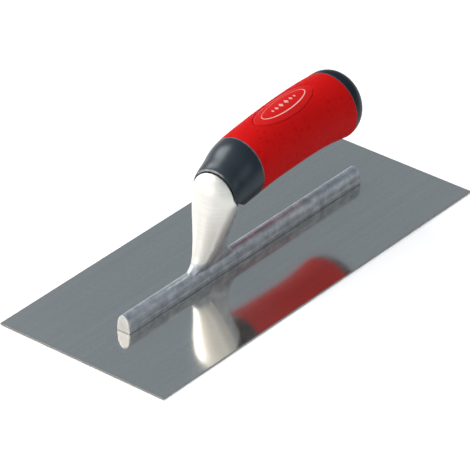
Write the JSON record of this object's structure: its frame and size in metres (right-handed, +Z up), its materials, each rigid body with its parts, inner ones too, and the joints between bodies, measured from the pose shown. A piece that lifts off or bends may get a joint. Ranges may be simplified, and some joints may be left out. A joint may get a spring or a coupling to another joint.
{
  "type": "finishing trowel",
  "caption": "Plasterer's finishing trowel: thin flat steel blade, cast aluminium spine and gooseneck, and a two-colour soft grip handle with an oval badge.",
  "frame": {"origin": "centre of the blade's underside, which is the working face", "axes": "+X along the blade towards its front end, where the neck stands; +Y across the blade to the left; +Z up through the handle"},
  "size_m": [0.28, 0.12, 0.085],
  "materials": {
    "blade_steel": "ground and hardened spring steel, satin mirror",
    "rivet_steel": "steel, ground flush",
    "cast_aluminium": "as cast, linished on the neck and the front end",
    "black_plastic": "satin moulded",
    "red_soft_grip": "soft matte elastomer",
    "red_badge": "satin, printed with a plain oval line",
    "zinc_steel": "zinc plated"
  },
  "bodies": {
    "root": {"blade": "blade_steel", "blade_rivets": "rivet_steel", "spine_casting": "cast_aluminium", "handle_core": "black_plastic", "grip_sleeve": "red_soft_grip", "badge": "red_badge", "end_cap": "black_plastic", "retaining_screw": "zinc_steel", "washer": "zinc_steel"}
  },
  "joints": []
}
